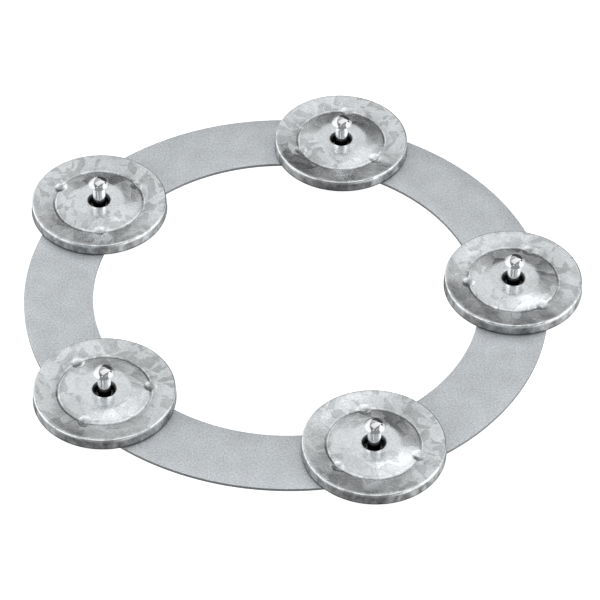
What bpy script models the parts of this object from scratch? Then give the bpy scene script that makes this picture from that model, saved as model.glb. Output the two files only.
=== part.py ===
"""Ching ring: a flat steel ring with five pairs of loose jingles on stand-off rivets.

The ring lies flat in the XY plane with its centre at the origin and its top face at z = 0.
The five rivets stand on a circle in the middle of the ring's band, the first one on +X.
Each rivet holds two pressed sheet jingles: an upper one, open side down, that hides a
smaller lower one lying on its back inside it. Both are loose on the rivet's shank, turn
round it, and the upper one can jump up as far as the rivet's head.
"""

import math

import bmesh
import bpy
from mathutils import Matrix, Vector

MM = 0.001

# Ring plate
RING_OUTER_DIAMETER = 152.4 * MM
RING_BAND_WIDTH = 20.0 * MM
RING_THICKNESS = 0.9 * MM
RING_EDGE_CHAMFER = 0.2 * MM

# Stations round the ring
STATION_COUNT = 5

# Upper jingle, a pressed lid
JINGLE_DIAMETER = 40.0 * MM
JINGLE_SHEET = 0.4 * MM
JINGLE_WALL_HEIGHT = 3.3 * MM
JINGLE_WALL_FLARE = 0.25 * MM
EDGE_INNER_BEND = 0.2 * MM
GROOVE_DIAMETER = 26.4 * MM
GROOVE_DEPTH = 0.8 * MM
BOSS_DIAMETER = 14.8 * MM
LIP_INNER_BEND = 0.4 * MM
DIMPLE_DIAMETER = 2.6 * MM
DIMPLE_DEPTH = 0.45 * MM
DIMPLE_COUNT = 3
UPPER_TURNS_DEGREES = (62.9, 77.6, 30.4, 4.2, 97.3)

# Rivet
SHANK_DIAMETER = 3.8 * MM
HEAD_DOME_HEIGHT = 1.8 * MM
HEAD_RIM_HEIGHT = 0.3 * MM
TENON_DIAMETER = 2.4 * MM
TAIL_DIAMETER = 4.4 * MM
TAIL_THICKNESS = 0.7 * MM
TAIL_CHAMFER = 0.3 * MM

# Travel and clearances
JINGLE_TRAVEL = 5.9 * MM
STOP_GAP = 0.3 * MM
SEAT_GAP = 0.3 * MM
RIVET_SEAT_GAP = 0.2 * MM
TENON_CLEARANCE = 0.2 * MM
HOLE_CLEARANCE = 0.9 * MM
HEAD_OVER_HOLE = 0.25 * MM
NEST_SIDE_GAP = 1.0 * MM
NEST_RIM_GAP = 0.6 * MM
NEST_DIMPLE_GAP = 0.3 * MM

# Facets
RING_STEPS = 72
LOWER_JINGLE_STEPS = 30
JINGLE_STEPS_BETWEEN_DIMPLES = 9
RIVET_STEPS = 16
HEAD_DOME_STEPS = 4
BEND_STEPS = 2
SHARP_ANGLE = math.radians(35.0)
MERGE_DISTANCE = 0.0001 * MM

# Sizes that follow from the ones above
ring_outer_radius = RING_OUTER_DIAMETER / 2
ring_inner_radius = ring_outer_radius - RING_BAND_WIDTH
rivet_circle_radius = (ring_outer_radius + ring_inner_radius) / 2
shank_radius = SHANK_DIAMETER / 2
tenon_radius = TENON_DIAMETER / 2
hole_radius = shank_radius + HOLE_CLEARANCE
head_radius = hole_radius + HEAD_OVER_HOLE

upper_top = SEAT_GAP + JINGLE_WALL_HEIGHT
upper_radius = JINGLE_DIAMETER / 2
head_seat = upper_top + JINGLE_TRAVEL + STOP_GAP

groove_radius = GROOVE_DIAMETER / 2
groove_slope = GROOVE_DEPTH / (upper_radius - groove_radius)
lower_radius = upper_radius - JINGLE_SHEET - NEST_SIDE_GAP
ceiling_over_rim = upper_top - groove_slope * (upper_radius - lower_radius) - JINGLE_SHEET
lower_wall_height = ceiling_over_rim - NEST_RIM_GAP - SEAT_GAP
dimple_underside = upper_top - GROOVE_DEPTH - DIMPLE_DEPTH - JINGLE_SHEET
lower_groove_depth = dimple_underside - NEST_DIMPLE_GAP - JINGLE_SHEET - SEAT_GAP


def clear_scene():
    for item in list(bpy.data.objects):
        bpy.data.objects.remove(item, do_unlink=True)


def metal(name, colour, roughness):
    """A metal finish with one colour and one roughness."""
    material = bpy.data.materials.new(name)
    material.use_nodes = True
    shader = material.node_tree.nodes["Principled BSDF"]
    shader.inputs["Base Color"].default_value = (*colour, 1.0)
    shader.inputs["Metallic"].default_value = 1.0
    shader.inputs["Roughness"].default_value = roughness
    return material


def finished_mesh(name, bm, material):
    """Turn a bmesh into a smooth-shaded mesh whose corners stay sharp."""
    mesh = bpy.data.meshes.new(name)
    bm.to_mesh(mesh)
    bm.free()
    mesh.materials.append(material)
    mesh.shade_smooth()
    mesh.set_sharp_from_angle(angle=SHARP_ANGLE)
    return mesh


def place(name, mesh, station=None, height=0.0, turn=0.0, on_its_back=False):
    """Add a piece to the scene, at a height above its station's empty."""
    piece = bpy.data.objects.new(name, mesh)
    bpy.context.scene.collection.objects.link(piece)
    piece.parent = station
    piece.location = (0.0, 0.0, height)
    piece.rotation_euler = (math.pi if on_its_back else 0.0, 0.0, turn)
    return piece


def turned(section, steps, is_ring=False):
    """Spin a section of (radius, height) points round Z into a closed solid."""
    bm = bmesh.new()
    verts = [bm.verts.new((radius, 0.0, height)) for radius, height in section]
    edges = [bm.edges.new(pair) for pair in zip(verts, verts[1:])]
    if is_ring:
        edges.append(bm.edges.new((verts[-1], verts[0])))
    bmesh.ops.spin(
        bm,
        geom=verts + edges,
        cent=Vector(),
        axis=Vector((0.0, 0.0, 1.0)),
        angle=math.tau,
        steps=steps,
        use_merge=True,
    )
    bmesh.ops.remove_doubles(bm, verts=bm.verts, dist=MERGE_DISTANCE)
    bmesh.ops.recalc_face_normals(bm, faces=bm.faces)
    return bm


def bend(centre_radius, centre_height, radius, start, end):
    """Points along a round bend in a section, between two angles in degrees."""
    points = []
    for step in range(BEND_STEPS + 1):
        angle = math.radians(start + (end - start) * step / BEND_STEPS)
        points.append(
            (
                centre_radius + radius * math.cos(angle),
                centre_height + radius * math.sin(angle),
            )
        )
    return points


def lid_section(outer_radius, wall_height, groove_depth, groove_radii):
    """Outer face of a pressed lid from its hole to its foot; the top is at height 0."""
    lip_radius = JINGLE_SHEET + LIP_INNER_BEND
    lip = bend(hole_radius + lip_radius, -lip_radius, lip_radius, 180, 90)
    boss_edge = [(BOSS_DIAMETER / 2, 0.0)]
    groove = [(radius, -groove_depth) for radius in groove_radii]
    edge_radius = JINGLE_SHEET + EDGE_INNER_BEND
    edge = bend(outer_radius - edge_radius, -edge_radius, edge_radius, 90, 0)
    foot = [(outer_radius + JINGLE_WALL_FLARE, -wall_height)]
    return lip + boss_edge + groove + edge + foot


def sheet_of_revolution(section, angles):
    """An open skin through a section of (radius, height) points, facing up and outwards."""
    bm = bmesh.new()
    loops = [
        [bm.verts.new((r * math.cos(a), r * math.sin(a), z)) for a in angles]
        for r, z in section
    ]
    for inner, outer in zip(loops, loops[1:]):
        for i in range(len(angles)):
            j = (i + 1) % len(angles)
            bm.faces.new((inner[i], outer[i], outer[j], inner[j]))
    return bm


def thicken(piece):
    """Give a pressed skin its sheet thickness, on the inside."""
    sheet = piece.modifiers.new("sheet thickness", "SOLIDIFY")
    sheet.thickness = JINGLE_SHEET
    sheet.offset = -1.0
    sheet.use_even_offset = True
    sheet.use_quality_normals = True


def ring_plate(material):
    """The flat ring, with its edges eased."""
    bottom = -RING_THICKNESS
    ease = RING_EDGE_CHAMFER
    section = [
        (ring_outer_radius - ease, 0.0),
        (ring_outer_radius, -ease),
        (ring_outer_radius, bottom + ease),
        (ring_outer_radius - ease, bottom),
        (ring_inner_radius + ease, bottom),
        (ring_inner_radius, bottom + ease),
        (ring_inner_radius, -ease),
        (ring_inner_radius + ease, 0.0),
    ]
    bm = turned(section, RING_STEPS, is_ring=True)
    return place("ring_plate", finished_mesh("ring_plate", bm, material))


def punch_rivet_hole(plate, station, index):
    """Cut the hole that a rivet's tenon passes through."""
    bm = bmesh.new()
    bmesh.ops.create_cone(
        bm,
        cap_ends=True,
        segments=RIVET_STEPS,
        radius1=tenon_radius + TENON_CLEARANCE,
        radius2=tenon_radius + TENON_CLEARANCE,
        depth=RING_THICKNESS * 3,
    )
    mesh = bpy.data.meshes.new(f"rivet_hole_{index}")
    bm.to_mesh(mesh)
    bm.free()
    punch = place(f"rivet_hole_{index}", mesh, station, -RING_THICKNESS / 2)
    punch.hide_render = True
    punch.display_type = "WIRE"
    cut = plate.modifiers.new(f"rivet hole {index}", "BOOLEAN")
    cut.operation = "DIFFERENCE"
    cut.solver = "EXACT"
    cut.object = punch


def rivet_mesh(material):
    """A domed head on a shank that stands on the ring, with a tail closed under it."""
    shoulder = RIVET_SEAT_GAP
    tail_top = -RING_THICKNESS - RIVET_SEAT_GAP
    tail_radius = TAIL_DIAMETER / 2
    tail_bottom = tail_top - TAIL_THICKNESS
    rim_top = head_seat + HEAD_RIM_HEIGHT
    dome_radius = (head_radius**2 + HEAD_DOME_HEIGHT**2) / (2 * HEAD_DOME_HEIGHT)
    dome_centre = rim_top + HEAD_DOME_HEIGHT - dome_radius
    half_angle = math.asin(head_radius / dome_radius)
    dome = []
    for step in range(HEAD_DOME_STEPS + 1):
        angle = half_angle * (1 - step / HEAD_DOME_STEPS)
        dome.append(
            (dome_radius * math.sin(angle), dome_centre + dome_radius * math.cos(angle))
        )
    section = [
        (0.0, tail_bottom),
        (tail_radius - TAIL_CHAMFER, tail_bottom),
        (tail_radius, tail_bottom + TAIL_CHAMFER),
        (tail_radius, tail_top),
        (tenon_radius, tail_top),
        (tenon_radius, shoulder),
        (shank_radius, shoulder),
        (shank_radius, head_seat),
        (head_radius, head_seat),
    ]
    bm = turned(section + dome, RIVET_STEPS)
    return finished_mesh("rivet", bm, material)


def upper_jingle_mesh(material):
    """The lid-shaped jingle, with a dished top and dimples pressed into its groove."""
    reach = DIMPLE_DIAMETER / 2
    half_width = reach / groove_radius
    spacing = math.tau / DIMPLE_COUNT
    between = spacing - 2 * half_width
    angles = []
    for dimple in range(DIMPLE_COUNT):
        centre = dimple * spacing
        angles += [centre - half_width, centre, centre + half_width]
        for step in range(1, JINGLE_STEPS_BETWEEN_DIMPLES):
            share = step / JINGLE_STEPS_BETWEEN_DIMPLES
            angles.append(centre + half_width + between * share)
    section = lid_section(upper_radius, JINGLE_WALL_HEIGHT, GROOVE_DEPTH, [groove_radius])
    groove = section.index((groove_radius, -GROOVE_DEPTH))
    boss_slope = GROOVE_DEPTH / (groove_radius - BOSS_DIAMETER / 2)
    inner_side = (groove_radius - reach, -GROOVE_DEPTH + boss_slope * reach)
    outer_side = (groove_radius + reach, -GROOVE_DEPTH + groove_slope * reach)
    section[groove : groove + 1] = [inner_side, section[groove], outer_side]
    bm = sheet_of_revolution(section, angles)
    for vert in bm.verts:
        for dimple in range(DIMPLE_COUNT):
            centre = Matrix.Rotation(dimple * spacing, 3, "Z") @ Vector(
                (groove_radius, 0.0, -GROOVE_DEPTH)
            )
            if (vert.co - centre).length < MERGE_DISTANCE:
                vert.co.z -= DIMPLE_DEPTH
    return finished_mesh("upper_jingle", bm, material)


def lower_jingle_mesh(material):
    """A smaller pressing of the same kind, without dimples."""
    angles = [math.tau * step / LOWER_JINGLE_STEPS for step in range(LOWER_JINGLE_STEPS)]
    radii = [groove_radius]
    section = lid_section(lower_radius, lower_wall_height, lower_groove_depth, radii)
    bm = sheet_of_revolution(section, angles)
    return finished_mesh("lower_jingle", bm, material)


def station_empty(index):
    """An empty on the rivet circle, at the ring's top face."""
    empty = bpy.data.objects.new(f"station_{index + 1}", None)
    bpy.context.scene.collection.objects.link(empty)
    angle = math.tau * index / STATION_COUNT
    empty.location = (
        rivet_circle_radius * math.cos(angle),
        rivet_circle_radius * math.sin(angle),
        0.0,
    )
    return empty


def build():
    clear_scene()
    plate = ring_plate(metal("blasted_steel", (0.50, 0.52, 0.53), 0.5))
    rivet = rivet_mesh(metal("polished_steel", (0.75, 0.76, 0.77), 0.08))
    upper = upper_jingle_mesh(metal("spangled_zinc", (0.66, 0.68, 0.69), 0.25))
    lower = lower_jingle_mesh(metal("dull_zinc", (0.45, 0.46, 0.47), 0.4))
    for index in range(STATION_COUNT):
        station = station_empty(index)
        number = index + 1
        punch_rivet_hole(plate, station, number)
        place(f"rivet_{number}", rivet, station)
        turn = math.radians(UPPER_TURNS_DEGREES[index % len(UPPER_TURNS_DEGREES)])
        thicken(place(f"upper_jingle_{number}", upper, station, upper_top, turn))
        thicken(place(f"lower_jingle_{number}", lower, station, SEAT_GAP, 0.0, True))


build()
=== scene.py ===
"""The looks of a ching ring: a blasted steel ring with pairs of zinc jingles on bright rivets."""

import math

import bmesh
import bpy
from mathutils import Matrix, Vector


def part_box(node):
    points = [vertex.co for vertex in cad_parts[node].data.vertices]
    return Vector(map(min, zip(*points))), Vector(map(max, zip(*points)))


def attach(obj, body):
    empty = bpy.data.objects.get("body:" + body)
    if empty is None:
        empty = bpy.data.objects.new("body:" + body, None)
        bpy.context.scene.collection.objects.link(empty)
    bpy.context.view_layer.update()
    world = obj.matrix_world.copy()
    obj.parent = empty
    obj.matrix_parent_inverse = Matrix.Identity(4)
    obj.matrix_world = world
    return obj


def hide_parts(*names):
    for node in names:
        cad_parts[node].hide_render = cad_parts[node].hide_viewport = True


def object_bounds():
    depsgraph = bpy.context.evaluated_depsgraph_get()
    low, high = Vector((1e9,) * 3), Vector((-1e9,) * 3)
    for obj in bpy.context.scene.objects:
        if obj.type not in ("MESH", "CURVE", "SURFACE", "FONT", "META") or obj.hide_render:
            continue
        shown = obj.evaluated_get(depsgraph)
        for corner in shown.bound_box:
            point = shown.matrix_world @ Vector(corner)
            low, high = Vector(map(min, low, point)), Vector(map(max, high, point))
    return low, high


MM = 0.001

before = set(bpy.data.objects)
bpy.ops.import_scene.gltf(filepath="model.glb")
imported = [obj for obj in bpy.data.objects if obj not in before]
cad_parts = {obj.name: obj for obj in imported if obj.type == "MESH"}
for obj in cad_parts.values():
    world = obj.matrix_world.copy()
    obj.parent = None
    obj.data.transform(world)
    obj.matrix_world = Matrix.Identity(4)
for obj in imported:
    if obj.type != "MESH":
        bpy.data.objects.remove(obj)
cad_low, cad_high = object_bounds()

# Stations round the ring, whose top face is at height 0
STATIONS = (1, 2, 3, 4, 5)

# Ring plate
RING_BAND_WIDTH = 20.0 * MM
RING_EDGE_ROUNDING = 0.22 * MM
RING_EDGE_ANGLE = math.radians(50.0)
RING_STEPS = 360
RING_BANDS = 4
PUNCH_STEPS = 48
PUNCH_LENGTH = 3  # in plate thicknesses

# Pressed sheet jingles
JINGLE_SHEET = 0.4 * MM
JINGLE_WALL_FLARE = 0.25 * MM
JINGLE_EDGE_ROUNDING = 0.4 * MM
JINGLE_STEPS = 288
HOLE_RADIUS = 2.8 * MM
HOLE_LIP_RADIUS = 3.35 * MM
HOLE_LIP_HEIGHT = 0.8 * MM
HOLE_LIP_ROUNDING = 0.3 * MM
BOSS_RADIUS = 7.4 * MM
BOSS_EDGE_ROUNDING = 0.6 * MM
GROOVE_RADIUS = 13.2 * MM
UPPER_GROOVE_DEPTH = 0.8 * MM
LOWER_GROOVE_DEPTH = 0.95 * MM
CUT_EDGE_ROUNDING = 0.08 * MM
CUT_EDGE_ANGLE = math.radians(60.0)

# How far each upper jingle is turned, so that its dimples lie as in the photograph
UPPER_TURNS_DEGREES = (62.9, 77.6, 30.4, 4.2, 97.3)

# Line scribed in the groove: its rings lie at these shares of its half width
SCRIBED_LINE_HALF_WIDTH = 0.38 * MM
SCRIBED_LINE_DEPTH = 0.15 * MM
SCRIBED_LINE_SHARES = (-0.6, -0.3, 0.3, 0.6)
SCRIBED_LINE_STEEPNESS = 1.3

# Dimples: a wide and shallow pull outside each, then a pointed push, then smoothing
DIMPLE_COUNT = 3
DIMPLE_RADIUS = 1.85 * MM
DIMPLE_DEPTH = 0.60 * MM
DIMPLE_SOFTENING = 3
DIMPLE_PULL_OFFSET = 3.2 * MM
DIMPLE_PULL_RADIUS = 4.6 * MM
DIMPLE_PULL_DEPTH = 0.10 * MM
FINE_RINGS_REACH = 2.6 * MM

# Rivets
SHANK_RADIUS = 1.9 * MM
TENON_RADIUS = 1.2 * MM
TENON_HOLE_RADIUS = 1.4 * MM
HEAD_DOME_HEIGHT = 1.8 * MM
HEAD_RIM_HEIGHT = 0.3 * MM
HEAD_EDGE_ROUNDING = 0.1 * MM
DOME_TIP_RADIUS = 0.01 * MM
TAIL_RADIUS = 2.2 * MM
TAIL_THICKNESS = 0.7 * MM
TAIL_EDGE_ROUNDING = 0.2 * MM
RIVET_SEAT_GAP = 0.2 * MM
RIVET_STEPS = 96
DOME_STEPS = 14

SHARP_ANGLE = math.radians(40.0)
PLACE_TOLERANCE = 0.01 * MM

# Colours of the metals, which the greys are multiplied with
RING_TINT = (0.935, 0.97, 1.0)
RIVET_TINT = (0.98, 0.99, 1.0)
ZINC_TINT = (0.965, 0.985, 1.0)

# Where a finish fades from one zone to the next, in millimetres: radii on a jingle
HOLE_FADE = (3.3, 3.7)
BOSS_FADE = (7.1, 7.7)
GROOVE_FADE = (12.9, 13.5)
# Distance from the middle of the groove, and the cosine that is 1 at each dimple, which place the
# dimples' painted highlight
DIMPLE_FADE = (1.4, 2.2)
DIMPLE_COSINE_FADE = (0.75, 0.95)
# Heights over the ring's top face
# The wall: it leans more, is rougher, and painted shade darkens it
WALL_TOP_FADE = (2.4, 3.2)
# The painted contact shadow along the wall's foot
FOOT_SHADE_FADE = (0.35, 0.75)
HEAD_FADE = (9.6, 10.0)
# Where painted shade darkens the shank, low down in the jingles
SHANK_SHADE_FADE = (2.6, 5.4)
TAIL_FADE = (-0.7, -0.3)

# Zinc: the crystal pattern in millimetres, and the two jingles' looks
GRAIN_SIZE = 6.0
GRAIN_BEND = 0.8
LEAF_SIZE = 1.9
LEAF_STRETCH = (1.0, 0.42, 0.7)
LEAF_SCATTER = 40.0
LEAF_LIGHT_FADE = (0.27, 0.37)
PATTERN_STEP = 53.0
SPECK_HEIGHT = 0.027 * MM
DARKEST = 0.02
LIGHTEST_LEAF = 0.98
UPPER_LOOK = {"tone": 1.0, "roughness": 0.17, "lean": 0.07}
# The lower jingle's low tone is partly painted shade, for it lies inside the upper one; its
# higher roughness is its own dull finish.
LOWER_LOOK = {"tone": 0.45, "roughness": 0.3, "lean": 0.04}

# Studio. Near zero, a direction's part is held at this before it divides another.
NEAR_ZERO = 0.02
SCREEN_WHITE = 1.45
SCREEN_DIMMING = 0.4
STUDIO_TINT = (0.985, 0.995, 1.0)
FLOOR_SIZE = 6.0
FLOOR_GREY = 0.5
FLOOR_GLOW = 0.92

# Camera, fitted to the ring's edges in the photograph
CAMERA_AZIMUTH = math.radians(-4.48)
CAMERA_ELEVATION = math.radians(44.69)
CAMERA_ROLL = math.radians(1.238)
CAMERA_DISTANCE = 934.2 * MM
CAMERA_AIM = (3.98 * MM, -1.50 * MM, -0.9 * MM)
CAMERA_SENSOR = 36.0
CAMERA_LENS = 192.77
CAMERA_CLIPS = (0.01, 20.0)


def half_width(low, high):
    """The radius of a round piece, from its box."""
    return (high.x - low.x) / 2


def station_centre(number):
    """The point of a station's rivet axis at the ring's top face."""
    low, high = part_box(f"rivet_{number}")
    return Vector(((low.x + high.x) / 2, (low.y + high.y) / 2, 0.0))


def deselect():
    bpy.ops.object.select_all(action="DESELECT")
    bpy.context.view_layer.objects.active = None


def pick(piece):
    """Make one piece the only one selected."""
    deselect()
    piece.select_set(True)
    bpy.context.view_layer.objects.active = piece


def edit(piece):
    pick(piece)
    bpy.ops.object.mode_set(mode="EDIT")


def leave_edit():
    bpy.ops.object.mode_set(mode="OBJECT")


def select_loop(piece, radius, height):
    """Select the ring of edges at one radius and height, and nothing else."""
    bpy.ops.mesh.select_all(action="DESELECT")
    shape = bmesh.from_edit_mesh(piece.data)
    for edge in shape.edges:
        ends = [math.hypot(v.co.xy.length - radius, v.co.z - height) for v in edge.verts]
        if max(ends) < PLACE_TOLERANCE:
            edge.select_set(True)
    bmesh.update_edit_mesh(piece.data)


def round_loop(piece, radius, height, width, segments):
    """Round the corner that runs along a ring of edges."""
    select_loop(piece, radius, height)
    bpy.ops.mesh.bevel(offset=width, segments=segments, profile=0.5, affect="EDGES")


def start_circle(name, radius, height, steps, fill):
    """Add a circle as a new piece and leave it in edit mode, selected all over."""
    deselect()
    bpy.ops.mesh.primitive_circle_add(
        vertices=steps, radius=radius, location=(0.0, 0.0, height), fill_type=fill
    )
    piece = bpy.context.object
    piece.name = name
    bpy.ops.object.transform_apply(location=True, rotation=True, scale=True)
    edit(piece)
    bpy.ops.mesh.select_all(action="SELECT")
    return piece


class Turning:
    """A circle that is pulled along a section, ring by ring, as on a spinning lathe."""

    def __init__(self, name, radius, height, steps, fill="NOTHING"):
        self.piece = start_circle(name, radius, height, steps, fill)
        self.radius = radius
        self.height = height

    def pull(self, radius, height, rings=1):
        """Extrude the open edge to a new radius and height, in one or more rings."""
        start_radius, start_height = self.radius, self.height
        for ring in range(1, rings + 1):
            share = ring / rings
            next_radius = start_radius + (radius - start_radius) * share
            next_height = start_height + (height - start_height) * share
            rise = next_height - self.height
            bpy.ops.mesh.extrude_edges_move(TRANSFORM_OT_translate={"value": (0.0, 0.0, rise)})
            growth = next_radius / self.radius
            bpy.ops.transform.resize(
                value=(growth, growth, 1.0), center_override=(0.0, 0.0, next_height)
            )
            self.radius, self.height = next_radius, next_height


def apply_modifier(piece, name, kind, **settings):
    """Add a modifier with its settings and apply it."""
    pick(piece)
    modifier = piece.modifiers.new(name, kind)
    for setting, value in settings.items():
        setattr(modifier, setting, value)
    bpy.ops.object.modifier_apply(modifier=modifier.name)


def round_edges(piece, width, segments, angle):
    """Round every edge that is sharper than an angle."""
    apply_modifier(
        piece,
        "rounded edges",
        "BEVEL",
        width=width,
        segments=segments,
        limit_method="ANGLE",
        angle_limit=angle,
    )


def smooth(piece):
    """Shade a piece smooth, apart from its sharp edges."""
    pick(piece)
    bpy.ops.object.shade_smooth_by_angle(angle=SHARP_ANGLE)


def face_up(piece):
    """Turn an open skin over if most of it faces down."""
    if sum(face.normal.z * face.area for face in piece.data.polygons) < 0:
        edit(piece)
        bpy.ops.mesh.select_all(action="SELECT")
        bpy.ops.mesh.flip_normals()
        leave_edit()


def copy_to(piece, name, centre, height, turn=0.0, on_its_back=False):
    """A copy of a piece with its own mesh, turned and moved, with its place in its mesh."""
    pick(piece)
    bpy.ops.object.duplicate(linked=False)
    copy = bpy.context.object
    copy.name = name
    copy.location = (centre.x, centre.y, height)
    copy.rotation_euler = (math.pi if on_its_back else 0.0, 0.0, turn)
    bpy.ops.object.transform_apply(location=True, rotation=True, scale=True)
    return copy


def punch_hole(piece, name, radius, centre, height, depth):
    """Cut a round hole through a piece with an upright punch."""
    deselect()
    bpy.ops.mesh.primitive_cylinder_add(
        vertices=PUNCH_STEPS, radius=radius, depth=depth, location=(centre.x, centre.y, height)
    )
    punch = bpy.context.object
    apply_modifier(piece, name, "BOOLEAN", object=punch, operation="DIFFERENCE")
    bpy.data.objects.remove(punch)


def blasted_ring():
    """The flat ring with its five rivet holes, every edge softly rounded."""
    low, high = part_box("ring_plate")
    outer_radius = half_width(low, high)
    thickness = high.z - low.z
    ring = Turning("blasted_ring", outer_radius - RING_BAND_WIDTH, high.z, RING_STEPS)
    ring.pull(outer_radius, high.z, rings=RING_BANDS)
    leave_edit()
    piece = ring.piece
    face_up(piece)
    apply_modifier(piece, "plate", "SOLIDIFY", thickness=thickness, offset=-1.0)
    middle = (high.z + low.z) / 2
    for number in STATIONS:
        centre = station_centre(number)
        name = f"rivet hole {number}"
        punch_hole(piece, name, TENON_HOLE_RADIUS, centre, middle, thickness * PUNCH_LENGTH)
    round_edges(piece, RING_EDGE_ROUNDING, segments=3, angle=RING_EDGE_ANGLE)
    smooth(piece)
    return piece


def bright_rivet():
    """A rivet with its tail, tenon, shank and domed head, turned in one go."""
    low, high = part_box("rivet_1")
    head_radius = half_width(low, high)
    rim_top = high.z - HEAD_DOME_HEIGHT
    head_seat = rim_top - HEAD_RIM_HEIGHT
    tail_top = low.z + TAIL_THICKNESS
    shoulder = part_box("ring_plate")[1].z + RIVET_SEAT_GAP
    rivet = Turning("bright_rivet", TAIL_RADIUS, low.z, RIVET_STEPS, fill="NGON")
    rivet.pull(TAIL_RADIUS, tail_top)
    rivet.pull(TENON_RADIUS, tail_top)
    rivet.pull(TENON_RADIUS, shoulder)
    rivet.pull(SHANK_RADIUS, shoulder)
    rivet.pull(SHANK_RADIUS, head_seat, rings=4)
    rivet.pull(head_radius, head_seat)
    rivet.pull(head_radius, rim_top)
    dome_radius = (head_radius**2 + HEAD_DOME_HEIGHT**2) / (2 * HEAD_DOME_HEIGHT)
    dome_centre = high.z - dome_radius
    half_angle = math.asin(head_radius / dome_radius)
    for step in range(1, DOME_STEPS):
        angle = half_angle * (1 - step / DOME_STEPS)
        rivet.pull(dome_radius * math.sin(angle), dome_centre + dome_radius * math.cos(angle))
    rivet.pull(DOME_TIP_RADIUS, high.z)
    bpy.ops.mesh.merge(type="CENTER")
    piece = rivet.piece
    round_loop(piece, TAIL_RADIUS, low.z, TAIL_EDGE_ROUNDING, segments=4)
    round_loop(piece, head_radius, head_seat, HEAD_EDGE_ROUNDING, segments=4)
    round_loop(piece, head_radius, rim_top, HEAD_EDGE_ROUNDING, segments=4)
    bpy.ops.mesh.select_all(action="SELECT")
    bpy.ops.mesh.normals_make_consistent(inside=False)
    leave_edit()
    smooth(piece)
    return piece


def slope_height(radius, groove_depth, rim_radius):
    """Height of the dished top, which falls from the boss to the groove and rises to the rim."""
    if radius < GROOVE_RADIUS:
        return -groove_depth * (radius - BOSS_RADIUS) / (GROOVE_RADIUS - BOSS_RADIUS)
    return -groove_depth * (rim_radius - radius) / (rim_radius - GROOVE_RADIUS)


def pressed_lid(name, rim_radius, wall_height, groove_depth, line_depth):
    """The outer skin of a lid-shaped jingle, its top at height 0 and its open side down."""

    def slope(radius):
        return slope_height(radius, groove_depth, rim_radius)

    inner_foot = GROOVE_RADIUS - SCRIBED_LINE_HALF_WIDTH
    outer_foot = GROOVE_RADIUS + SCRIBED_LINE_HALF_WIDTH
    inner_reach = GROOVE_RADIUS - FINE_RINGS_REACH
    outer_reach = GROOVE_RADIUS + FINE_RINGS_REACH
    lid = Turning(name, HOLE_RADIUS, -HOLE_LIP_HEIGHT, JINGLE_STEPS)
    lid.pull(HOLE_LIP_RADIUS, 0.0)
    lid.pull(BOSS_RADIUS, 0.0, rings=3)
    lid.pull(inner_reach, slope(inner_reach), rings=3)
    lid.pull(inner_foot, slope(inner_foot), rings=8)
    for share in SCRIBED_LINE_SHARES:
        radius = GROOVE_RADIUS + share * SCRIBED_LINE_HALF_WIDTH
        depth = line_depth * (1 - abs(share)) * SCRIBED_LINE_STEEPNESS
        lid.pull(radius, slope(radius) - depth)
    lid.pull(outer_foot, slope(outer_foot))
    lid.pull(outer_reach, slope(outer_reach), rings=8)
    lid.pull(rim_radius, 0.0, rings=4)
    lid.pull(rim_radius + JINGLE_WALL_FLARE, -wall_height, rings=4)
    piece = lid.piece
    round_loop(piece, HOLE_LIP_RADIUS, 0.0, HOLE_LIP_ROUNDING, segments=5)
    round_loop(piece, BOSS_RADIUS, 0.0, BOSS_EDGE_ROUNDING, segments=5)
    round_loop(piece, rim_radius, 0.0, JINGLE_EDGE_ROUNDING, segments=6)
    leave_edit()
    face_up(piece)
    return piece


def press(piece, centre, depth, reach, falloff):
    """Push the skin down round the vertex nearest to a point."""
    bpy.ops.mesh.select_all(action="DESELECT")
    shape = bmesh.from_edit_mesh(piece.data)
    nearest = min(shape.verts, key=lambda vert: (vert.co - centre).length)
    nearest.select_set(True)
    bmesh.update_edit_mesh(piece.data)
    bpy.ops.transform.translate(
        value=(0.0, 0.0, -depth),
        use_proportional_edit=True,
        proportional_edit_falloff=falloff,
        proportional_size=reach,
    )


def soften(piece, centre, reach):
    """Smooth the skin round a point, also the scribed line that runs through it."""
    bpy.ops.mesh.select_all(action="DESELECT")
    shape = bmesh.from_edit_mesh(piece.data)
    for vert in shape.verts:
        if (vert.co.xy - centre.xy).length < reach:
            vert.select_set(True)
    bmesh.update_edit_mesh(piece.data)
    bpy.ops.mesh.vertices_smooth(factor=0.5, repeat=DIMPLE_SOFTENING)


def punch_dimples(piece, groove_depth):
    """Press round dimples into the groove, evenly spaced, the first on +X."""
    edit(piece)
    for number in range(DIMPLE_COUNT):
        angle = math.tau * number / DIMPLE_COUNT
        centre = Vector(
            (GROOVE_RADIUS * math.cos(angle), GROOVE_RADIUS * math.sin(angle), -groove_depth)
        )
        pulled = centre + centre.normalized() * DIMPLE_PULL_OFFSET
        press(piece, pulled, DIMPLE_PULL_DEPTH, DIMPLE_PULL_RADIUS, "SMOOTH")
        press(piece, centre, DIMPLE_DEPTH, DIMPLE_RADIUS, "LINEAR")
        soften(piece, centre, DIMPLE_RADIUS)
    leave_edit()


def give_thickness(piece):
    """Turn a pressed skin into sheet metal with softened cut edges."""
    apply_modifier(
        piece, "sheet", "SOLIDIFY", thickness=JINGLE_SHEET, offset=-1.0, use_even_offset=True
    )
    round_edges(piece, CUT_EDGE_ROUNDING, segments=2, angle=CUT_EDGE_ANGLE)
    smooth(piece)


def spangled_jingle(low, high):
    """The upper jingle with its scribed line and dimples, centred, its top at height 0."""
    rim_radius = half_width(low, high) - JINGLE_WALL_FLARE
    piece = pressed_lid(
        "spangled_jingle", rim_radius, high.z - low.z, UPPER_GROOVE_DEPTH, SCRIBED_LINE_DEPTH
    )
    punch_dimples(piece, UPPER_GROOVE_DEPTH)
    give_thickness(piece)
    return piece


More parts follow.
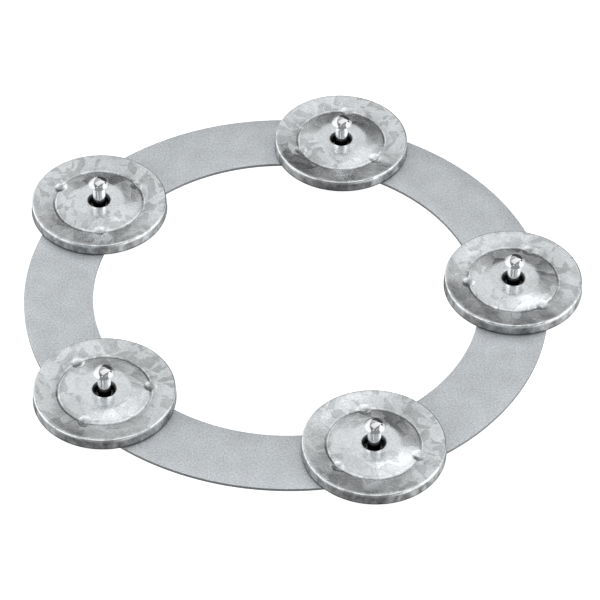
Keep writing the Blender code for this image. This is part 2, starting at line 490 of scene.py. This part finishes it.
def dull_jingle(low, high):
    """The plain lower jingle, centred, as it is before it is laid on its back."""
    rim_radius = half_width(low, high) - JINGLE_WALL_FLARE
    piece = pressed_lid("dull_jingle", rim_radius, high.z - low.z, LOWER_GROOVE_DEPTH, 0.0)
    give_thickness(piece)
    return piece


class Value:
    """A shader socket that can be used in Python sums."""

    def __init__(self, owner, socket):
        self.owner = owner
        self.socket = socket

    def __add__(self, other):
        return self.owner.maths("ADD", self, other)

    def __radd__(self, other):
        return self.owner.maths("ADD", other, self)

    def __sub__(self, other):
        return self.owner.maths("SUBTRACT", self, other)

    def __rsub__(self, other):
        return self.owner.maths("SUBTRACT", other, self)

    def __mul__(self, other):
        return self.owner.maths("MULTIPLY", self, other)

    def __rmul__(self, other):
        return self.owner.maths("MULTIPLY", other, self)

    def __truediv__(self, other):
        return self.owner.maths("DIVIDE", self, other)

    def __rtruediv__(self, other):
        return self.owner.maths("DIVIDE", other, self)

    def __pow__(self, other):
        return self.owner.maths("POWER", self, other)

    def __rpow__(self, other):
        return self.owner.maths("POWER", other, self)


class NodeTree:
    """The nodes of a material or of the world."""

    def __init__(self, owner):
        owner.use_nodes = True
        self.tree = owner.node_tree

    def node(self, kind, settings, sockets, output=0):
        """Add a node, set its settings first and then its sockets, and give one output."""
        made = self.tree.nodes.new(f"ShaderNode{kind}")
        for name, value in settings.items():
            setattr(made, name, value)
        for name, value in sockets.items():
            if isinstance(value, Value):
                self.tree.links.new(value.socket, made.inputs[name])
            else:
                made.inputs[name].default_value = value
        return Value(self, made.outputs[output])

    def feed(self, node_name, socket, value):
        """Link a value to a socket of a node that is there from the start."""
        self.tree.links.new(value.socket, self.tree.nodes[node_name].inputs[socket])

    def maths(self, operation, *values):
        """What a Math node makes of some numbers."""
        return self.node("Math", {"operation": operation}, dict(enumerate(values)))

    def vectors(self, operation, *vectors):
        """What a Vector Math node makes of some vectors."""
        return self.node("VectorMath", {"operation": operation}, dict(enumerate(vectors)))

    def add(self, first, second):
        return self.vectors("ADD", first, second)

    def times(self, first, second):
        return self.vectors("MULTIPLY", first, second)

    def scale(self, vector, factor):
        return self.node("VectorMath", {"operation": "SCALE"}, {0: vector, "Scale": factor})

    def part(self, vector, axis):
        """One of the three numbers of a vector or colour."""
        return self.node("SeparateXYZ", {}, {"Vector": vector}, axis)

    def parts(self, vector):
        return [self.part(vector, axis) for axis in "XYZ"]

    def at_least(self, value, least):
        return self.maths("MAXIMUM", value, least)

    def clamp(self, value, low, high):
        return self.node("Clamp", {}, {"Value": value, "Min": low, "Max": high})

    def soft_rise(self, value, low, high):
        """A number that grows smoothly from 0 at low to 1 at high."""
        sockets = {"Value": value, "From Min": low, "From Max": high}
        return self.node("MapRange", {"interpolation_type": "SMOOTHSTEP"}, sockets)

    def soft_fall(self, value, low, high):
        """A number that falls smoothly from 1 at low to 0 at high."""
        return 1.0 - self.soft_rise(value, low, high)

    def noise(self, place, scale, detail=2.0, roughness=0.5, output="Fac"):
        sockets = {"Vector": place, "Scale": scale, "Detail": detail, "Roughness": roughness}
        return self.node("TexNoise", {}, sockets, output)

    def cells(self, place, size):
        """A random colour in each of many cells, which are about one size across."""
        return self.node("TexVoronoi", {}, {"Vector": place, "Scale": 1 / size}, "Color")


class Finish(NodeTree):
    """A finish: one material, its Principled shader and the nodes that vary it."""

    def __init__(self, name, constants):
        self.material = bpy.data.materials.new(name)
        super().__init__(self.material)
        self.surface = self.tree.nodes["Principled BSDF"]
        for socket, value in constants.items():
            self.surface.inputs[socket].default_value = value

    def shade(self, socket, value):
        self.feed("Principled BSDF", socket, value)

    def millimetres(self, centre=(0.0, 0.0, 0.0), turn=0.0):
        """Object coordinates in millimetres, about a centre and turned with the piece."""
        place = self.node("TexCoord", {}, {}, "Object")
        sockets = {"Vector": place, "Location": centre, "Rotation": (0.0, 0.0, turn)}
        centred = self.node("Mapping", {"vector_type": "TEXTURE"}, sockets)
        return self.scale(centred, 1.0 / MM)

    def normal(self):
        return self.node("NewGeometry", {}, {}, "Normal")

    def tilted(self, tilt):
        """The surface's normal, leaned a little by a vector."""
        return self.vectors("NORMALIZE", self.add(self.normal(), tilt))

    def bump(self, height, distance, under=None):
        """The normal of a fine relief, on top of another normal if one is given."""
        sockets = {"Height": height, "Distance": distance}
        if under is not None:
            sockets["Normal"] = under
        return self.node("Bump", {}, sockets)

    def dress(self, piece):
        piece.data.materials.clear()
        piece.data.materials.append(self.material)


def blasted_steel():
    """Fine blasted steel, a little cloudy, darker on its edges and sides with painted shade."""
    finish = Finish("blasted_steel", {"Metallic": 0.6, "Roughness": 0.5})
    place = finish.millimetres()
    grain = finish.noise(place, scale=1.9, detail=2.0, roughness=0.6)
    cloud = finish.noise(place, scale=0.15, detail=4.0)
    flatness = finish.maths("ABSOLUTE", finish.part(finish.normal(), "Z"))
    # Painted shade: where the normal leans far from upright, on the sides and rounded edges, the
    # grey falls to about a third.
    unshaded_face = finish.soft_rise(flatness, 0.3, 0.8)
    grey = 0.71 + 0.78 * (grain - 0.5) + 0.24 * (cloud - 0.5)
    finish.shade("Base Color", finish.scale(RING_TINT, grey * (0.35 + 0.65 * unshaded_face)))
    finish.shade("Normal", finish.bump(grain, 0.02 * MM))
    return finish


def polished_steel():
    """Polished steel with a faint haze, dark at the foot of the shank with painted shade."""
    finish = Finish("polished_steel", {"Metallic": 1.0, "Roughness": 0.04})
    place = finish.millimetres()
    haze = finish.noise(place, scale=0.4, detail=3.0)
    height = finish.part(place, "Z")
    on_head = finish.soft_rise(height, *HEAD_FADE)
    on_tail = finish.soft_fall(height, *TAIL_FADE)
    clear_of_shank_shade = finish.soft_rise(height, *SHANK_SHADE_FADE)
    # Painted shade: the shank darkens from 5.4 mm down to 2.6 mm over the ring's top, where it
    # stands in the jingles; the tail under the ring stays bright.
    bright = 0.06 + 0.84 * clear_of_shank_shade - 0.24 * on_head + 0.66 * on_tail
    finish.shade("Base Color", finish.scale(RIVET_TINT, bright + 0.06 * haze))
    finish.shade("Roughness", 0.02 + 0.05 * haze)
    return finish


class Zinc(Finish):
    """Zinc-plated sheet: grains of leaf-shaped crystals that each lean a little."""

    def __init__(self, name, centre, turn, number, tone, roughness, lean):
        super().__init__(name, {"Metallic": 1.0, "Roughness": roughness})
        place = self.millimetres(centre, turn)
        self.find_zones(place)
        # Each station's jingles have their own stretch of the pattern
        pattern = self.add(place, (PATTERN_STEP * number, 0.0, 0.0))
        self.grow_crystals(pattern)
        self.wave = self.noise(pattern, scale=0.11, detail=1.0, output="Color")
        upright = self.times(pattern, (1.0, 1.0, 0.5))
        self.streak = self.noise(upright, scale=0.3, detail=4.0, roughness=0.6, output="Color")
        self.smudge = self.noise(pattern, scale=0.35, detail=5.0, roughness=0.65)
        self.speck = self.noise(pattern, scale=1.6, detail=3.0, roughness=0.7)
        self.shade("Base Color", self.scale(ZINC_TINT, self.grey(tone)))
        self.shade("Roughness", roughness + self.dullness())
        self.shade("Normal", self.bump(self.speck, SPECK_HEIGHT, self.tilted(self.tilt(lean))))

    def find_zones(self, place):
        """Masks of the jingle's zones: 1 in the zone and 0 outside it."""
        x, y, z = self.parts(place)
        radius = (x * x + y * y) ** 0.5
        # The hole's mask, where painted shade darkens the grey and the roughness is raised
        self.in_hole = self.soft_fall(radius, *HOLE_FADE)
        self.on_boss = self.soft_fall(radius, *BOSS_FADE)
        self.in_groove = self.soft_fall(radius, *GROOVE_FADE)
        self.on_wall = self.soft_fall(z, *WALL_TOP_FADE)
        # A painted contact shadow along the foot of the wall
        self.foot_shade = self.soft_fall(z, *FOOT_SHADE_FADE)
        # The angle times the number of dimples, so that its cosine is 1 at each of them
        turns = self.maths("ARCTAN2", y, x) * DIMPLE_COUNT
        along_groove = self.soft_rise(self.maths("COSINE", turns), *DIMPLE_COSINE_FADE)
        from_groove = self.maths("ABSOLUTE", radius - GROOVE_RADIUS / MM)
        # The dimples' mask, where a painted highlight lightens the grey
        self.dimple_highlight = along_groove * self.soft_fall(from_groove, *DIMPLE_FADE)

    def grow_crystals(self, pattern):
        """Grains with bent borders, and leaves in them that point another way in each grain."""
        swirl = self.noise(pattern, scale=0.6, detail=2.0, output="Color")
        bent = self.add(pattern, self.scale(swirl, GRAIN_BEND))
        self.grain = self.cells(bent, GRAIN_SIZE)
        sockets = {"Vector": bent, "Angle": self.part(self.grain, "X") * math.tau}
        turned = self.node("VectorRotate", {"rotation_type": "Z_AXIS"}, sockets)
        stretched = self.times(turned, LEAF_STRETCH)
        scattered = self.add(stretched, self.scale(self.grain, LEAF_SCATTER))
        self.leaf = self.cells(scattered, LEAF_SIZE)

    def tilt(self, lean):
        """How the crystals and the sheet itself lean, less on the boss and more on the wall."""

        def centred(colour):
            return self.add(colour, (-0.5, -0.5, -0.5))

        crystals = self.add(
            self.scale(centred(self.leaf), lean * 0.6),
            self.scale(centred(self.grain), lean * 0.9),
        )
        sheet = self.add(
            self.scale(centred(self.wave), lean),
            self.scale(centred(self.streak), 0.3 * lean + 6.0 * lean * self.on_wall),
        )
        return self.scale(self.add(crystals, sheet), 1.0 - 0.45 * self.on_boss)

    def grey(self, tone):
        """Grey of the zones and crystals, with specks: painted light makes it lighter inside the
        groove, on the boss and at the dimples, and painted shade makes it darker in the hole,
        down the wall and at the wall's foot.
        """
        leaf_light = self.soft_rise(self.part(self.leaf, "Y"), *LEAF_LIGHT_FADE) - 0.6
        grain_light = self.part(self.grain, "Y") - 0.5
        # Painted light: the inner slope, the boss and most of all the dimples are lighter than
        # the outer zone, as painted highlights; the leaves, grains and smudges are the sheet's
        # own pattern.
        shade = (
            0.81 + 0.11 * self.in_groove + 0.10 * self.on_boss + 0.18 * self.dimple_highlight
            + (0.23 - 0.06 * self.on_boss) * leaf_light
            + 0.08 * grain_light + 0.30 * (self.smudge - 0.5)
        )
        # Painted shade down the wall, in uneven upright streaks that stand in for dark
        # reflections.
        wall_painted_shade = self.on_wall * (1.27 - 1.5 * self.part(self.streak, "X"))
        # Painted shade: the grey is darkened in the hole, down the wall and at the wall's foot.
        painted_shade = (1.0 - 0.85 * self.in_hole) * (1.0 - wall_painted_shade) * (1.0 - 0.75 * self.foot_shade)
        even = self.clamp(tone * shade * painted_shade, DARKEST, LIGHTEST_LEAF)
        return self.clamp(even * (0.97 + 0.68 * (self.speck - 0.5)), DARKEST, 1.0)

    def dullness(self):
        """What is added to the roughness: most in the hole and on the wall."""
        crystals = 0.06 * self.part(self.leaf, "Z")
        return crystals + 0.12 * (self.smudge - 0.45) + 0.3 * self.in_hole + 0.2 * self.on_wall


class Studio(NodeTree):
    """The world, painted as a white studio. Each light covers what was painted before it."""

    def __init__(self):
        world = bpy.data.worlds.new("studio")
        bpy.context.scene.world = world
        super().__init__(world)
        ray = self.node("TexCoord", {}, {}, "Generated")
        sockets = {"Vector": ray, "Rotation": (0.0, 0.0, -CAMERA_AZIMUTH)}
        seen = self.node("Mapping", {"vector_type": "POINT"}, sockets)
        self.right, self.back, self.up = self.parts(seen)
        self.left = 0.0 - self.right
        self.front = 0.0 - self.back
        # Grey room, dimmer low down
        self.light = 0.25 + 0.11 * self.soft_rise(self.up, -0.1, 0.3)

    def paint(self, brightness, *masks):
        """Lay a brightness over the light so far, where all the masks are 1."""
        share = masks[0]
        for mask in masks[1:]:
            share = share * mask
        self.light = self.light + (brightness - self.light) * share

    def span(self, value, low, high, soft):
        """1 between two limits, with soft edges."""
        rise = self.soft_rise(value, low - soft, low + soft)
        return rise * self.soft_fall(value, high - soft, high + soft)

    def back_wall(self):
        """A wall that grows lighter upwards and to the left, then a little darker at the top."""
        height = self.up - 0.4 * self.right - 0.45
        lighter = 3.8 * self.clamp(height, 0.02, 0.2184)
        top_shade = 2.0 * self.clamp(height - 0.29, 0.0, 0.12)
        self.paint(lighter - top_shade, self.soft_rise(self.back, -0.25, 0.25))

    def low_sides(self):
        """Light from low down at both sides."""
        low_down = self.soft_fall(self.up, -0.35, 0.0)
        behind = self.soft_rise(self.back, -0.5, 0.1)
        self.paint(1.0, low_down * behind, self.soft_rise(self.left, 0.40, 0.75))
        self.paint(1.25, low_down, self.soft_rise(self.right, 0.2, 0.8))

    def left_screen(self):
        """A white screen on the left, dimmer low down towards the back."""
        reach = self.at_least(self.left, NEAR_ZERO)
        depth = self.back / reach
        top = 1.2 - 0.15 * self.clamp(1.4 - depth, 0.0, 1.5)
        low_back = self.soft_rise(depth, 0.5, 1.0) * self.soft_fall(self.up, 0.25, 0.4)
        self.paint(
            SCREEN_WHITE - SCREEN_DIMMING * low_back,
            self.soft_rise(self.left, 0.08, 0.14),
            self.span(self.up / reach, -0.3, top, 0.1),
            self.span(depth, -1.2, 7.0, 0.1),
        )

    def right_screen(self):
        """A lower white screen on the right, dimmer towards the back."""
        reach = self.at_least(self.right, NEAR_ZERO)
        depth = self.back / reach
        self.paint(
            SCREEN_WHITE - SCREEN_DIMMING * self.soft_rise(depth, 0.1, 0.5),
            self.soft_rise(self.right, 0.3, 0.5),
            self.span(self.up / reach, -0.55, 0.36, 0.1),
            self.span(depth, -0.9, 1.0, 0.2),
        )

    def camera_side(self):
        """A dark camera, a pale card on its right, a white strip and a dark gap on its left."""
        sideways = self.right / self.at_least(self.front, NEAR_ZERO)
        upwards = self.span(self.up, 0.66, 0.75, 0.03) * self.soft_rise(self.front, 0.1, 0.2)
        self.paint(0.7, upwards, self.span(sideways, 0.20, 1.7, 0.05))
        self.paint(1.3, upwards, self.span(sideways, -0.48, -0.10, 0.03))
        self.paint(0.1, upwards, self.span(sideways, -1.4, -0.60, 0.10))
        self.paint(0.0, upwards, self.span(sideways, -0.05, 0.18, 0.02))

    def right_card(self):
        """A white card on the right, over the lower screen."""
        beside = self.soft_rise(self.right, 0.63, 0.69) * self.span(self.back, -0.56, 0.30, 0.04)
        self.paint(1.5, beside, self.span(self.up, 0.2, 0.75, 0.03))

    def overhead_light(self):
        """A long box of light overhead, which lies askew."""
        high_up = self.at_least(self.up, NEAR_ZERO)
        along = (0.75 * self.right + 0.66 * self.back) / high_up
        across = (0.66 * self.right - 0.75 * self.back) / high_up
        near_edge = 0.40 - 0.07 * along
        far_edge = 0.12 * along - 0.42 + 0.22 * self.at_least(along - 0.7, 0.0)
        self.paint(
            1.22 + 0.15 * along,
            self.soft_rise(self.up, 0.1, 0.2),
            self.span(along, -0.5, 2.4, 0.04),
            self.span(across, far_edge, near_edge, 0.04),
        )

    def switch_on(self):
        """Send the painted light to the world's background."""
        self.feed("Background", "Color", self.scale(STUDIO_TINT, self.light))


def light_studio():
    """A studio round the ring: a pale room, screens and cards at the sides, a light overhead."""
    studio = Studio()
    studio.back_wall()
    studio.low_sides()
    studio.left_screen()
    studio.right_screen()
    studio.camera_side()
    studio.right_card()
    studio.overhead_light()
    studio.switch_on()


def stand_camera():
    """The camera of the photograph: a long lens that looks down at 45 degrees."""
    azimuth_turn = Matrix.Rotation(CAMERA_AZIMUTH, 3, "Z")
    aim = azimuth_turn @ Vector(CAMERA_AIM)
    back = azimuth_turn @ Vector((0.0, -math.cos(CAMERA_ELEVATION), math.sin(CAMERA_ELEVATION)))
    right = azimuth_turn @ Vector((1.0, 0.0, 0.0))
    up = back.cross(right)
    rolled_right = math.cos(CAMERA_ROLL) * right + math.sin(CAMERA_ROLL) * up
    rolled_up = back.cross(rolled_right)
    turn = Matrix((rolled_right, rolled_up, back)).transposed().to_4x4()
    data = bpy.data.cameras.new("camera")
    data.sensor_width = CAMERA_SENSOR
    data.lens = CAMERA_LENS
    data.clip_start, data.clip_end = CAMERA_CLIPS
    camera = bpy.data.objects.new("camera", data)
    bpy.context.scene.collection.objects.link(camera)
    camera.matrix_world = Matrix.Translation(aim + back * CAMERA_DISTANCE) @ turn
    bpy.context.scene.camera = camera


def lay_floor():
    """A pale floor under the part. Mirror rays pass through it, so the metal shows the studio."""
    deselect()
    bpy.ops.mesh.primitive_plane_add(size=FLOOR_SIZE, location=(0.0, 0.0, cad_low.z))
    floor = bpy.context.object
    floor.name = "floor"
    constants = {
        "Base Color": (FLOOR_GREY, FLOOR_GREY, FLOOR_GREY, 1.0),
        "Roughness": 1.0,
        "Specular IOR Level": 0.0,
        "Emission Color": (1.0, 1.0, 1.0, 1.0),
        "Emission Strength": FLOOR_GLOW,
    }
    finish = Finish("pale_floor", constants)
    mirrored = finish.node("LightPath", {}, {}, "Is Glossy Ray")
    surface = Value(finish, finish.surface.outputs[0])
    through = finish.node("BsdfTransparent", {}, {})
    mixed = finish.node("MixShader", {}, {0: mirrored, 1: surface, 2: through})
    finish.feed("Material Output", "Surface", mixed)
    finish.dress(floor)


def dress_up(piece, node, body, finish):
    """Give a piece its finish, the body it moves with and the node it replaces."""
    finish.dress(piece)
    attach(piece, body)
    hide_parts(node)


def build():
    """The ring, and on each station a rivet, an upper jingle and a lower one."""
    dress_up(blasted_ring(), "ring_plate", "ring", blasted_steel())

    rivet = bright_rivet()
    upper_low, upper_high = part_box("upper_jingle_1")
    upper = spangled_jingle(upper_low, upper_high)
    lower_low, lower_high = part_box("lower_jingle_1")
    lower = dull_jingle(lower_low, lower_high)

    for number, degrees in zip(STATIONS, UPPER_TURNS_DEGREES):
        centre = station_centre(number)
        bright = copy_to(rivet, f"bright_rivet_{number}", centre, 0.0)
        dress_up(bright, f"rivet_{number}", "ring", polished_steel())

        turn = math.radians(degrees)
        node = f"upper_jingle_{number}"
        top = copy_to(upper, f"spangled_jingle_{number}", centre, upper_high.z, turn)
        finish = Zinc(f"spangled_zinc_{number}", centre, turn, number, **UPPER_LOOK)
        dress_up(top, node, node, finish)

        node = f"lower_jingle_{number}"
        under = copy_to(lower, f"dull_jingle_{number}", centre, lower_low.z, on_its_back=True)
        finish = Zinc(f"dull_shaded_zinc_{number}", centre, 0.0, number, **LOWER_LOOK)
        dress_up(under, node, node, finish)
    for piece in (rivet, upper, lower):
        bpy.data.objects.remove(piece)


build()
lay_floor()
light_studio()
stand_camera()
bpy.context.scene.view_settings.view_transform = "Standard"
